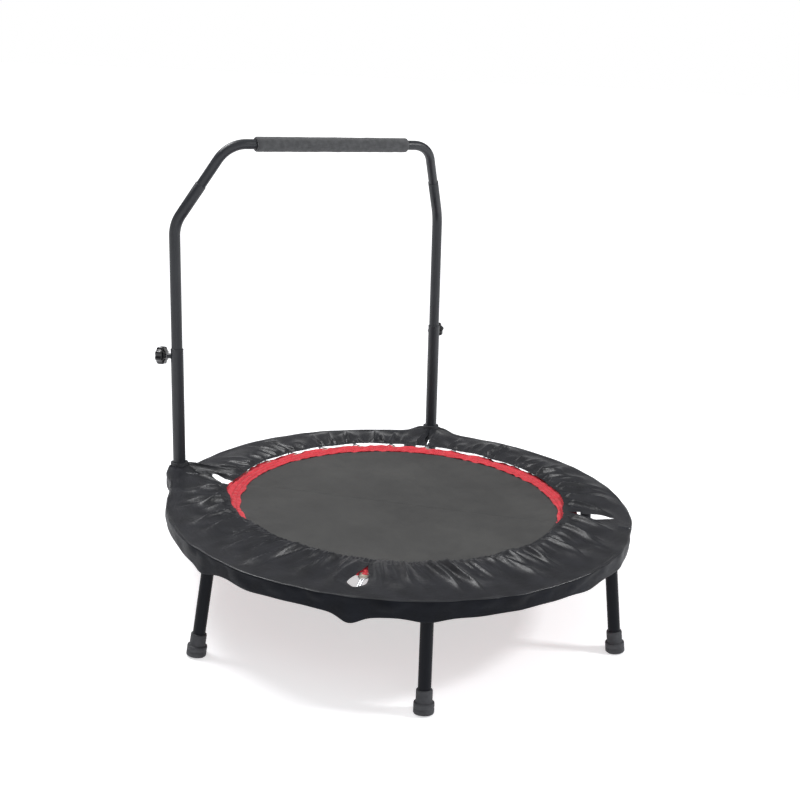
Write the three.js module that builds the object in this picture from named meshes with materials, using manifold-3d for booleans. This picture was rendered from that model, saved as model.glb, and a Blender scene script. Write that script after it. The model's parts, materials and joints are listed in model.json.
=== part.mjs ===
// A folding mini trampoline with a height-adjustable U-shaped handlebar.
// Millimetres, +Z up, +Y towards the handlebar; the origin is on the floor under the mat's centre.
// Compass angles run counterclockwise from +X. The frame is four quarter-circle tubes that meet at
// 45, 135, 225 and 315 degrees, and it folds about the diameter through 135 and 315 degrees.

import * as THREE from 'three';
import { mergeVertices } from 'three/addons/utils/BufferGeometryUtils.js';
import Module from 'manifold-3d';

const wasm = await Module();
wasm.setup();

// ---------------------------------------------------------------- driving dimensions

// All lengths are in millimetres and every _RADIUS, _TUBE or _BORE is a radius. FRAME_HEIGHT and
// MAT_HEIGHT are the heights of the tube's and the mat's own middle planes above the floor.

const FRAME_RADIUS = 488;
const FRAME_HEIGHT = 201.5;
const FRAME_TUBE = 12.5;
const FRAME_WALL = 1.2;
const GAP = 0.3;
const FRAME_SIDES = 12;
const ROUND = 24;

const FOLD_ANGLE = 135;
const FOLD_HEIGHT = 212.5;
const HINGE_SETBACK = 12;
const KNUCKLE = 7.5;
const PIN_RADIUS = 4;
const PIN_SIDES = 32;
const PIN_BORE = 4.12;
const BLOCK_LENGTH = 32;
const BLOCK_SIDE = 14;
const BLOCK_BACK = 17;
const BLOCK_ABOVE = 4;
const BLOCK_BELOW = 26.5;
const SLEEVE_HALF_DEGREES = 4.5;

const COVER_RADIUS = 507.5;
const COVER_THICK = 2.2;
const COVER_TOP = 220;
const COVER_BOTTOM = 182;
const COVER_OPENING = 361;
const COVER_OPENING_SHIFT = 50;
const COVER_OPENING_ANGLE = 54;
const SLOT_HALF = 25;

const MAT_RADIUS = 350;
const BORDER_RADIUS = 392;
const MAT_HEIGHT = 208.5;
const MAT_THICK = 3;

const SPRINGS_PER_QUARTER = 7;
const SPRING_COIL = 4;
const SPRING_HOOK = 1.5;
const SPRING_FIRST = 412;
const SPRING_LAST = 463;
const SPRING_END = 473.5;
// Degrees from a quarter's first joint to its first spring; the hinges' blocks need more room.
const FIRST_SPRING = { sleeve: 2.5, hinge: 5.6 };
const HEM_INNER = 394.5;
const HEM_OUTER = 398.5;

const LEG_TUBE = 12.5;
const LEG_WALL = 1.2;
const LEG_SIDES = 16;
const FOOT_SIDES = 18;
const LEG_TOP_RADIUS = 488;
const LEG_FOOT_RADIUS = 516;
const LEG_ANGLES = {
  rear_right: 54,
  rear_left: 126,
  side_left: 188,
  front_left: 243.5,
  front_right: 299.5,
  side_right: 352,
};
const FOOT_BASE = 19.5;
const FOOT_NECK = 15.5;
const FOOT_BASE_HEIGHT = 22;
const FOOT_HEIGHT = 46;
const SOCKET_RADIUS = 15.5;
const SOCKET_BOTTOM = 177;

const POST_SIDES = 20;
const POST_X = 352;
const POST_Y = 397;
// POST_X and POST_Y are the post axis's place at this height; POST_LEAN is in degrees from upright.
const POST_Y_HEIGHT = 220;
const POST_LEAN = 2.85;
const POST_TUBE = 14.3;
const POST_WALL = 1.5;
const POST_BOTTOM = 122;
const POST_TOP = 496;
const COLLAR_RADIUS = 20;
const COLLAR_BOTTOM = 213;
const COLLAR_TOP = 230;
const BRACKET_BOTTOM = 128;
const BRACKET_TOP = 156;

const SLIDER_TUBE = 12.5;
const SLIDER_WALL = 1.2;
const SLIDER_BOTTOM = 135;
const LOWER_BEND_HEIGHT = 775;
const UPPER_BEND = new THREE.Vector3(260, 347, 956);
const LOWER_BEND_RADIUS = 80;
const UPPER_BEND_RADIUS = 65;
const BAR_TUBE = 11;
const BAR_WALL = 1.5;
const BAR_JOINT = 0.5;
const BAR_INSERT = 44;
const GRIP_RADIUS = 16.5;
const GRIP_HALF = 195;

const KNOB_HEIGHT = 478;
const KNOB_ANGLE = 48;
const KNOB_RADIUS = 21;
const KNOB_LOBE_DEPTH = 2.4;
const KNOB_LOBES = 8;
const KNOB_START = 28;
const KNOB_END = 47;
const STUD_RADIUS = 4;
const BOSS_RADIUS = 6;
const BOSS_END = 23;

// ---------------------------------------------------------------- materials

const material = (color, roughness, metalness) =>
  new THREE.MeshStandardMaterial({ color, roughness, metalness });

const PAINT = material(0x3a3c40, 0.45, 0.3);
const STEEL = material(0xb9bcc0, 0.3, 0.9);
const COVER_CLOTH = material(0x2b2c30, 0.7, 0.0);
const MAT_CLOTH = material(0x555553, 0.85, 0.0);
const BORDER_CLOTH = material(0xc8303c, 0.7, 0.0);
const FOAM = material(0x46484b, 0.9, 0.0);
const RUBBER = material(0x303236, 0.85, 0.0);
const PLASTIC = material(0x141416, 0.3, 0.0);

// ---------------------------------------------------------------- helpers

const radians = THREE.MathUtils.degToRad;

const polar = (radius, degrees, z) =>
  new THREE.Vector3(radius * Math.cos(radians(degrees)), radius * Math.sin(radians(degrees)), z);

function toSolid(geometry) {
  const bare = geometry.clone();
  bare.deleteAttribute('normal');
  bare.deleteAttribute('uv');
  const merged = mergeVertices(bare, 1e-4);
  return new wasm.Manifold(new wasm.Mesh({
    numProp: 3,
    vertProperties: new Float32Array(merged.attributes.position.array),
    triVerts: new Uint32Array(merged.index.array),
  }));
}

function fromSolid(solid) {
  const mesh = solid.getMesh();
  const geometry = new THREE.BufferGeometry();
  geometry.setAttribute('position', new THREE.BufferAttribute(new Float32Array(mesh.vertProperties), 3));
  geometry.setIndex(new THREE.BufferAttribute(new Uint32Array(mesh.triVerts), 1));
  geometry.computeVertexNormals();
  return geometry;
}

// A path through given stations, which a swept tube follows one station at a time.
class Route extends THREE.Curve {
  constructor(stations) {
    super();
    this.stations = stations;
  }

  getUtoTmapping(u) {
    return u;
  }

  getPoint(t, target = new THREE.Vector3()) {
    const last = this.stations.length - 1;
    const place = THREE.MathUtils.clamp(t, 0, 1) * last;
    const index = Math.min(Math.floor(place), last - 1);
    return target.lerpVectors(this.stations[index], this.stations[index + 1], place - index);
  }
}

// Stations along straight runs whose inner corners are rounded to the radii given.
function roundedStations(corners, radii, steps = 6) {
  const stations = [corners[0].clone()];
  for (let i = 1; i < corners.length - 1; i += 1) {
    const corner = corners[i];
    const back = corners[i - 1].clone().sub(corner).normalize();
    const ahead = corners[i + 1].clone().sub(corner).normalize();
    const half = back.angleTo(ahead) / 2;
    const inward = back.clone().add(ahead).normalize();
    const centre = corner.clone().addScaledVector(inward, radii[i - 1] / Math.sin(half));
    const from = corner.clone().addScaledVector(back, radii[i - 1] / Math.tan(half)).sub(centre);
    const axis = back.clone().cross(ahead).normalize().negate();
    for (let s = 0; s <= steps; s += 1) {
      stations.push(from.clone().applyAxisAngle(axis, (Math.PI - 2 * half) * (s / steps)).add(centre));
    }
  }
  stations.push(corners[corners.length - 1].clone());
  return stations;
}

function arcStations(from, to, steps) {
  const stations = [];
  for (let s = 0; s <= steps; s += 1) {
    stations.push(polar(FRAME_RADIUS, from + (to - from) * (s / steps), FRAME_HEIGHT));
  }
  return stations;
}

// A round rod along the stations, or a tube when an inner radius is given.
function swept(stations, outer, inner = 0, sides = FRAME_SIDES) {
  const shape = new THREE.Shape();
  shape.absarc(0, 0, outer, 0, 2 * Math.PI, false);
  if (inner > 0) {
    const hole = new THREE.Path();
    hole.absarc(0, 0, inner, 0, 2 * Math.PI, true);
    shape.holes.push(hole);
  }
  return new THREE.ExtrudeGeometry(shape, {
    curveSegments: sides / 2,
    steps: stations.length - 1,
    extrudePath: new Route(stations),
  });
}

// A closed ring or rod turned about an axis that runs between two points; profile is [radius, distance].
function turned(profile, start, end, sides = ROUND) {
  const geometry = new THREE.LatheGeometry(profile.map(([r, d]) => new THREE.Vector2(r, d)), sides);
  const direction = end.clone().sub(start).normalize();
  const turn = new THREE.Quaternion().setFromUnitVectors(new THREE.Vector3(0, 1, 0), direction);
  geometry.applyQuaternion(turn);
  geometry.translate(start.x, start.y, start.z);
  return geometry;
}

const ring = (inner, outer, low, high) =>
  [[inner, low], [outer, low], [outer, high], [inner, high], [inner, low]];

const rod = (radius, low, high) => [[0, low], [radius, low], [radius, high], [0, high]];

const onZ = (profile, sides = ROUND) =>
  turned(profile, new THREE.Vector3(0, 0, 0), new THREE.Vector3(0, 0, 1), sides);

function box(low, high) {
  const size = high.map((value, i) => value - low[i]);
  const geometry = new THREE.BoxGeometry(...size);
  geometry.translate(...low.map((value, i) => value + size[i] / 2));
  return geometry;
}

const group = new THREE.Group();
group.name = 'mini_trampoline';

function add(name, shape, look) {
  const solid = shape.isBufferGeometry ? toSolid(shape) : shape;
  const mesh = new THREE.Mesh(fromSolid(solid), look);
  mesh.name = name;
  group.add(mesh);
}

const mirrored = (vector, side) => new THREE.Vector3(vector.x * side, vector.y, vector.z);

// ---------------------------------------------------------------- frame ring

// Each quarter of the ring: the joint at its start, and whether either end carries a fold hinge.
const QUARTERS = [
  { name: 'rear', start: 45, hingeAtStart: false },
  { name: 'left', start: 135, hingeAtStart: true },
  { name: 'front', start: 225, hingeAtStart: false },
  { name: 'right', start: 315, hingeAtStart: true },
];

const degreesFor = (length) => THREE.MathUtils.radToDeg(length / FRAME_RADIUS);

// The four tubes, swollen by the gap, cut the seats in everything that holds them.
let tubeSeats = null;

for (const quarter of QUARTERS) {
  const hingeInset = degreesFor(HINGE_SETBACK + 3);
  const buttInset = degreesFor(1.2);
  const from = quarter.start + (quarter.hingeAtStart ? hingeInset : buttInset);
  const to = quarter.start + 90 - (quarter.hingeAtStart ? buttInset : hingeInset);
  const stations = arcStations(from, to, 15);
  add(`frame_arc_${quarter.name}`, swept(stations, FRAME_TUBE, FRAME_TUBE - FRAME_WALL), PAINT);
  const seat = toSolid(swept(stations, FRAME_TUBE + GAP));
  tubeSeats = tubeSeats ? tubeSeats.add(seat) : seat;
}

for (const [name, angle] of [['rear_right', 45], ['front_left', 225]]) {
  const stations = arcStations(angle - SLEEVE_HALF_DEGREES, angle + SLEEVE_HALF_DEGREES, 3);
  add(`frame_sleeve_${name}`, toSolid(swept(stations, FRAME_TUBE + 2.4)).subtract(tubeSeats), PAINT);
}

// ---------------------------------------------------------------- fold hinges

// In a hinge's own frame +X runs along the pin, +Y towards the half that folds and +Z up.
const alongPin = polar(1, FOLD_ANGLE, 0);
const towardsFold = polar(1, FOLD_ANGLE + 90, 0);

function hingePlace(distance) {
  const place = new THREE.Matrix4().makeBasis(alongPin, towardsFold, new THREE.Vector3(0, 0, 1));
  return place.setPosition(alongPin.clone().multiplyScalar(distance).setZ(FOLD_HEIGHT));
}

const acrossPin = (profile) =>
  turned(profile, new THREE.Vector3(0, 0, 0), new THREE.Vector3(1, 0, 0), PIN_SIDES);

// One leaf of the hinge: knuckles round the pin, arms, and the block that holds the tube's end.
function hingeLeaf(side, outward, knuckles) {
  const inner = outward > 0 ? [-BLOCK_BACK, BLOCK_SIDE] : [-BLOCK_SIDE, BLOCK_BACK];
  const reach = [side * HINGE_SETBACK, side * (HINGE_SETBACK + BLOCK_LENGTH)].sort((a, b) => a - b);
  const arm = [0, side * (HINGE_SETBACK + 1)].sort((a, b) => a - b);
  let leaf = toSolid(box([inner[0], reach[0], -BLOCK_BELOW], [inner[1], reach[1], BLOCK_ABOVE]));
  for (const [low, high] of knuckles) {
    leaf = leaf.add(toSolid(acrossPin(rod(KNUCKLE, low, high))));
    leaf = leaf.add(toSolid(box([low, arm[0], -KNUCKLE], [high, arm[1], 0])));
  }
  return leaf.subtract(toSolid(acrossPin(rod(PIN_BORE, -30, 30))));
}

function placed(solid, matrix) {
  const geometry = fromSolid(solid);
  geometry.applyMatrix4(matrix);
  return toSolid(geometry);
}

for (const [name, outward] of [['left', 1], ['right', -1]]) {
  const place = hingePlace(outward * FRAME_RADIUS);
  const clevis = placed(hingeLeaf(-1, outward, [[-11, -5], [5, 11]]), place);
  const tongue = placed(hingeLeaf(1, outward, [[-4.7, 4.7]]), place);
  add(`hinge_clevis_${name}`, clevis.subtract(tubeSeats), PAINT);
  add(`hinge_tongue_${name}`, tongue.subtract(tubeSeats), PAINT);
  const pin = [[0, -14], [6.5, -14], [6.5, -11.3], [PIN_RADIUS, -11.3],
    [PIN_RADIUS, 11.3], [6.5, 11.3], [6.5, 14], [0, 14]];
  add(`hinge_pin_${name}`, placed(toSolid(acrossPin(pin)), place), STEEL);
}

// ---------------------------------------------------------------- legs, sockets and feet

const aboveFloor = toSolid(box([-700, -700, 0], [700, 700, 400]));

for (const [name, angle] of Object.entries(LEG_ANGLES)) {
  const top = polar(LEG_TOP_RADIUS, angle, 188);
  const foot = polar(LEG_FOOT_RADIUS, angle, 0);
  const up = top.clone().sub(foot).normalize();
  const at = (height) => height / up.z;

  const tube = turned(ring(LEG_TUBE - LEG_WALL, LEG_TUBE, at(8), at(193)), foot, top, LEG_SIDES);
  add(`leg_${name}`, toSolid(tube).subtract(tubeSeats), PAINT);

  const socketProfile = ring(LEG_TUBE + GAP, SOCKET_RADIUS, at(SOCKET_BOTTOM), at(199));
  const socket = toSolid(turned(socketProfile, foot, top, LEG_SIDES));
  add(`leg_socket_${name}`, socket.subtract(tubeSeats), PAINT);

  const profile = [[0, at(-6)], [FOOT_BASE, at(-6)], [FOOT_BASE, at(11)], [FOOT_BASE - 0.8, at(12)],
    [FOOT_BASE, at(13)], [FOOT_BASE, at(FOOT_BASE_HEIGHT - 1)], [FOOT_BASE - 1, at(FOOT_BASE_HEIGHT)],
    [FOOT_NECK, at(FOOT_BASE_HEIGHT)], [FOOT_NECK, at(FOOT_HEIGHT - 1)], [FOOT_NECK - 1, at(FOOT_HEIGHT)],
    [LEG_TUBE + GAP, at(FOOT_HEIGHT)], [LEG_TUBE + GAP, at(8) - GAP], [0, at(8) - GAP]];
  add(`foot_${name}`, toSolid(turned(profile, foot, top, FOOT_SIDES)).intersect(aboveFloor), RUBBER);
}

// ---------------------------------------------------------------- posts that guide the handlebar

// Both posts lean back by the same angle, so that the handlebar can slide in them.
const leanSlope = Math.tan(radians(POST_LEAN));
const leanStretch = 1 / Math.cos(radians(POST_LEAN));

const postPoint = (side, height) =>
  new THREE.Vector3(POST_X * side, POST_Y + leanSlope * (height - POST_Y_HEIGHT), height);

for (const [name, side] of [['left', -1], ['right', 1]]) {
  const postFoot = postPoint(side, 0);
  const postUp = postPoint(side, 1).sub(postFoot).normalize();
  const onPost = (profile, sides = ROUND) => turned(
    profile.map(([radius, height]) => [radius, height * leanStretch]), postFoot, postPoint(side, 1), sides,
  );
  const outward = new THREE.Vector3(side * Math.cos(radians(KNOB_ANGLE)), Math.sin(radians(KNOB_ANGLE)), 0);
  outward.addScaledVector(postUp, -outward.dot(postUp)).normalize();
  const knobStart = postPoint(side, KNOB_HEIGHT);
  const knobEnd = knobStart.clone().add(outward);
  const cross = (profile, sides = 16) => turned(profile, knobStart, knobEnd, sides);

  const post = toSolid(onPost(ring(POST_TUBE - POST_WALL, POST_TUBE, POST_BOTTOM, POST_TOP), POST_SIDES));
  const studHole = toSolid(cross(rod(STUD_RADIUS + GAP, 5, 30)));
  add(`post_lower_${name}`, post.subtract(studHole), PAINT);

  const boss = toSolid(cross(ring(STUD_RADIUS + GAP, BOSS_RADIUS, 8, BOSS_END)));
  const postRod = toSolid(onPost(rod(POST_TUBE + GAP, POST_BOTTOM, POST_TOP + 20), POST_SIDES));
  add(`knob_boss_${name}`, boss.subtract(postRod), PAINT);
  add(`knob_stud_${name}`, cross(rod(STUD_RADIUS, SLIDER_TUBE + 0.5, KNOB_START + 10)), STEEL);

  const outline = new THREE.Shape();
  for (let i = 0; i < KNOB_LOBES * 4; i += 1) {
    const turn = (2 * Math.PI * i) / (KNOB_LOBES * 4);
    const radius = KNOB_RADIUS - 1.5 - KNOB_LOBE_DEPTH * (0.5 - 0.5 * Math.cos(KNOB_LOBES * turn));
    outline[i === 0 ? 'moveTo' : 'lineTo'](radius * Math.cos(turn), radius * Math.sin(turn));
  }
  outline.closePath();
  const head = new THREE.ExtrudeGeometry(outline, {
    depth: KNOB_END - KNOB_START - 3, bevelThickness: 1.5, bevelSize: 1.5, bevelSegments: 1,
  });
  head.translate(0, 0, KNOB_START + 1.5);
  head.applyQuaternion(new THREE.Quaternion().setFromUnitVectors(new THREE.Vector3(0, 0, 1), outward));
  head.translate(knobStart.x, knobStart.y, knobStart.z);
  const studBore = toSolid(cross(rod(STUD_RADIUS + GAP, KNOB_START - 5, KNOB_START + 10 + GAP)));
  add(`knob_${name}`, toSolid(head).subtract(studBore), PLASTIC);

  const collarProfile = ring(POST_TUBE + GAP, COLLAR_RADIUS, COLLAR_BOTTOM, COLLAR_TOP);
  add(`post_collar_${name}`, onPost(collarProfile), RUBBER);

  const bracketMiddle = (BRACKET_BOTTOM + BRACKET_TOP) / 2;
  const legAngle = side > 0 ? LEG_ANGLES.rear_right : LEG_ANGLES.rear_left;
  const legTop = polar(LEG_TOP_RADIUS, legAngle, 188);
  const legFoot = polar(LEG_FOOT_RADIUS, legAngle, 0);
  const legMiddle = legFoot.clone().lerp(legTop, bracketMiddle / 188).setZ(0);
  const reach = postPoint(side, bracketMiddle).setZ(0).sub(legMiddle);
  const arm = box([0, -11, BRACKET_BOTTOM], [reach.length(), 11, BRACKET_TOP]);
  arm.rotateZ(Math.atan2(reach.y, reach.x));
  arm.translate(legMiddle.x, legMiddle.y, 0);
  const legClamp = turned(rod(17, BRACKET_BOTTOM, BRACKET_TOP), legMiddle, legMiddle.clone().setZ(1));
  const bracket = toSolid(arm)
    .add(toSolid(legClamp))
    .add(toSolid(onPost(rod(18.5, BRACKET_BOTTOM, BRACKET_TOP))))
    .subtract(toSolid(turned(rod(LEG_TUBE + GAP, 100, 188), legFoot, legTop, LEG_SIDES)))
    .subtract(toSolid(onPost(rod(POST_TUBE + GAP, 100, 188), POST_SIDES)));
  add(`post_bracket_${name}`, bracket, PAINT);
}

// ---------------------------------------------------------------- handlebar

const lowerBend = postPoint(1, LOWER_BEND_HEIGHT);
const joint = lowerBend.clone().lerp(UPPER_BEND, BAR_JOINT);
const chamfer = UPPER_BEND.clone().sub(lowerBend).normalize();
const insert = joint.clone().addScaledVector(chamfer, -BAR_INSERT);

for (const [name, side] of [['left', -1], ['right', 1]]) {
  const corners = [postPoint(1, SLIDER_BOTTOM), lowerBend, joint];
  const stations = roundedStations(corners.map((point) => mirrored(point, side)), [LOWER_BEND_RADIUS]);
  add(`handlebar_tube_${name}`, swept(stations, SLIDER_TUBE, SLIDER_TUBE - SLIDER_WALL, 16), PAINT);
}

const barCorners = [mirrored(insert, -1), mirrored(UPPER_BEND, -1), UPPER_BEND, insert];
const barStations = roundedStations(barCorners, [UPPER_BEND_RADIUS, UPPER_BEND_RADIUS], 7);
add('handlebar_top', swept(barStations, BAR_TUBE, BAR_TUBE - BAR_WALL, 16), PAINT);

const gripStart = new THREE.Vector3(-GRIP_HALF, UPPER_BEND.y, UPPER_BEND.z);
const gripEnd = gripStart.clone().setX(GRIP_HALF);
const gripProfile = [[BAR_TUBE + GAP, 0], [GRIP_RADIUS - 1.5, 0], [GRIP_RADIUS, 1.5],
  [GRIP_RADIUS, 2 * GRIP_HALF - 1.5], [GRIP_RADIUS - 1.5, 2 * GRIP_HALF],
  [BAR_TUBE + GAP, 2 * GRIP_HALF], [BAR_TUBE + GAP, 0]];
add('handlebar_grip', turned(gripProfile, gripStart, gripEnd), FOAM);

// ---------------------------------------------------------------- mat, border, springs and cover

// A half space on one side of the fold line: side +1 is the half that folds.
function foldHalf(side, clear) {
  const half = side > 0 ? box([-700, clear, 0], [700, 700, 400]) : box([-700, -700, 0], [700, -clear, 400]);
  half.applyMatrix4(new THREE.Matrix4().makeBasis(alongPin, towardsFold, new THREE.Vector3(0, 0, 1)));
  return toSolid(half);
}

const matLow = MAT_HEIGHT - MAT_THICK / 2;
const matHigh = MAT_HEIGHT + MAT_THICK / 2;
const matDisc = toSolid(onZ(rod(MAT_RADIUS - GAP / 2, matLow, matHigh), 64));
const borderRing = toSolid(onZ(ring(MAT_RADIUS + GAP / 2 + 0.5, BORDER_RADIUS, matLow, matHigh), 64));

for (const [name, side] of [['rear', -1], ['front', 1]]) {
  add(`mat_${name}`, matDisc.intersect(foldHalf(side, GAP)), MAT_CLOTH);
  add(`mat_border_${name}`, borderRing.intersect(foldHalf(side, GAP)), BORDER_CLOTH);
}

// A quarter of the plane between two frame joints, kept clear of both joint lines.
function quarterPlane(start, clear) {
  const square = box([clear, clear, 0], [600, 600, 400]);
  square.rotateZ(radians(start));
  return toSolid(square);
}

const hem = toSolid(onZ(ring(HEM_INNER, HEM_OUTER, matLow, matHigh), 72));
const coverProfile = [
  [COVER_OPENING - COVER_OPENING_SHIFT - 20, COVER_TOP - COVER_THICK],
  [COVER_RADIUS - COVER_THICK, COVER_TOP - COVER_THICK],
  [COVER_RADIUS - COVER_THICK, COVER_BOTTOM],
  [COVER_RADIUS, COVER_BOTTOM],
  [COVER_RADIUS, COVER_TOP - 1.5],
  [COVER_RADIUS - 1.5, COVER_TOP],
  [COVER_OPENING - COVER_OPENING_SHIFT - 20, COVER_TOP],
  [COVER_OPENING - COVER_OPENING_SHIFT - 20, COVER_TOP - COVER_THICK],
];
const openingCentre = polar(COVER_OPENING_SHIFT, COVER_OPENING_ANGLE, 0);
const opening = turned(rod(COVER_OPENING, 100, 300), openingCentre, openingCentre.clone().setZ(1), 72);
const wholeCover = toSolid(onZ(coverProfile, 72)).subtract(toSolid(opening));

for (const quarter of QUARTERS) {
  const firstSpring = quarter.hingeAtStart ? FIRST_SPRING.hinge : FIRST_SPRING.sleeve;
  let springs = hem.intersect(quarterPlane(quarter.start, 3));
  for (let i = 0; i < SPRINGS_PER_QUARTER; i += 1) {
    const angle = quarter.start + firstSpring + (90 * i) / SPRINGS_PER_QUARTER;
    const start = polar(1e-6, angle, MAT_HEIGHT);
    const end = polar(1, angle, MAT_HEIGHT);
    const profile = [[0, HEM_INNER + 1], [SPRING_HOOK, HEM_INNER + 1], [SPRING_HOOK, SPRING_FIRST],
      [SPRING_COIL, SPRING_FIRST + 2], [SPRING_COIL, SPRING_LAST - 2], [SPRING_HOOK, SPRING_LAST],
      [SPRING_HOOK, SPRING_END], [0, SPRING_END]];
    springs = springs.add(toSolid(turned(profile, start, end, 6)));
  }
  add(`springs_${quarter.name}`, springs, STEEL);
  add(`cover_${quarter.name}`, wholeCover.intersect(quarterPlane(quarter.start, SLOT_HALF)), COVER_CLOTH);
}

export default group;
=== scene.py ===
"""Looks of the folding mini trampoline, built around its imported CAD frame.

Lengths are in metres. Angles round the trampoline run counterclockwise from +X. The named dimensions
give them in degrees, and the arrays that shape the mat and the cover hold radians. The trampoline folds
about the diameter through FOLD_ANGLE.
"""

import json
import math

import bmesh
import bpy
import numpy as np
from mathutils import Matrix, Vector


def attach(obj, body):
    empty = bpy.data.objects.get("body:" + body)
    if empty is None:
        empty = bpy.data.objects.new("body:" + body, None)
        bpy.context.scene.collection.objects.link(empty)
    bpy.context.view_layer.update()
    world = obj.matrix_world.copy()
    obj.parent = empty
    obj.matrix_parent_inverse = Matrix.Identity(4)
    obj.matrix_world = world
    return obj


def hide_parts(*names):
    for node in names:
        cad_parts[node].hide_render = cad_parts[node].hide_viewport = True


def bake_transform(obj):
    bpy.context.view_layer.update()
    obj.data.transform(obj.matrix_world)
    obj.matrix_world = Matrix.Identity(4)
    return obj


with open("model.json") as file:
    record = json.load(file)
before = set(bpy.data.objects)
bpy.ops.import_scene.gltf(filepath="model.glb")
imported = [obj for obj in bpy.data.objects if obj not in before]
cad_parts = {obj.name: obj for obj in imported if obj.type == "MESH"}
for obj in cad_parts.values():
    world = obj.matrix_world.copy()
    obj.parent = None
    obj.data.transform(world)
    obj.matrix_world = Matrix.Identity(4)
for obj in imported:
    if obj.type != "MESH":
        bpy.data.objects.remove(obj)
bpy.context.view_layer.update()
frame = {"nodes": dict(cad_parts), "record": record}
rng = np.random.default_rng(7)

# ---------------------------------------------------------------- dimensions, as in the CAD part

RING_RADIUS = 0.488
RING_HEIGHT = 0.2015
RING_TUBE = 0.0125
FOLD_ANGLE = 135

MAT_RADIUS = 0.350
BORDER_RADIUS = 0.392
MAT_TOP = 0.210
MAT_THICK = 0.003
SEAM_CLEARANCE = 0.0002
SPRING_HEIGHT = 0.2085
SPRINGS_PER_QUARTER = 7
FIRST_SPRING = {"rear": 2.5, "left": 5.6, "front": 2.5, "right": 5.6}

LEG_ANGLES = {
    "rear_right": 54.0,
    "rear_left": 126.0,
    "side_left": 188.0,
    "front_left": 243.5,
    "front_right": 299.5,
    "side_right": 352.0,
}
REAR_LEGS = ("rear_right", "rear_left", "side_right")
LEG_TUBE = 0.0125
LEG_TOP_RADIUS = 0.488
LEG_FOOT_RADIUS = 0.516
LEG_TOP_HEIGHT = 0.188

POST_X = 0.352
POST_Y = 0.397
POST_Y_HEIGHT = 0.220
POST_LEAN = math.tan(math.radians(2.85))
POST_TUBE = 0.0143
POST_WALL = 0.0015
POST_BOTTOM = 0.122
POST_TOP = 0.496
SLIDER_TUBE = 0.0125
SLIDER_BOTTOM = 0.135
LOWER_BEND_HEIGHT = 0.775
UPPER_BEND = np.array([0.260, 0.347, 0.956])
LOWER_BEND_RADIUS = 0.080
UPPER_BEND_RADIUS = 0.065
BAR_TUBE = 0.011
BAR_INSERT = 0.012
GRIP_RADIUS = 0.0165
GRIP_HALF = 0.195
KNOB_HEIGHT = 0.478
KNOB_ANGLE = 48.0

# ---------------------------------------------------------------- dimensions of the cloth cover

COVER_RIM = 0.5055
HEM_RADIUS = {
    0: 0.386, 30: 0.390, 60: 0.398, 82: 0.396, 108: 0.390, 135: 0.386, 148: 0.385, 160: 0.373,
    172: 0.351, 200: 0.329, 238: 0.325, 272: 0.329, 311: 0.351, 325: 0.368, 340: 0.380,
}
COVER_CREST = 0.2185
HEM_HEIGHT = 0.2135
PANEL_BOTTOM = 0.1845
COLUMNS_PER_SECTOR = 272
TOP_ROWS = 48

# Each slot in the cover: angle at its inner and outer end, radius of both ends, its widest gap, and where
# along it that is. A slot with a post carries on to a hole round that post.
POST_RADIUS = math.hypot(POST_X, POST_Y)
POST_ANGLE = math.degrees(math.atan2(POST_Y, POST_X))
POST_HOLE = 0.0160
SLOTS = [
    {
        "inner": 47.5, "outer": POST_ANGLE, "start": 0.380, "end": 0.500,
        "gap": 0.013, "peak": 0.45, "post": True,
    },
    {
        "inner": 141.5, "outer": 180 - POST_ANGLE, "start": 0.340, "end": 0.508,
        "gap": 0.024, "peak": 0.35, "post": True,
    },
    {
        "inner": 227.8, "outer": 226.8, "start": 0.356, "end": 0.464,
        "gap": 0.036, "peak": 0.80, "post": False,
    },
    {
        "inner": 324.0, "outer": 320.5, "start": 0.366, "end": 0.470,
        "gap": 0.028, "peak": 0.60, "post": False,
    },
]

PAINTED, STEEL, COVER, MAT = "painted_tube", "bare_steel", "cover_cloth", "mat_cloth"
BORDER, FOAM, RUBBER, KNOB = "border_cloth", "grip_foam", "foot_rubber", "knob_plastic"


# ---------------------------------------------------------------- node materials

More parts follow.
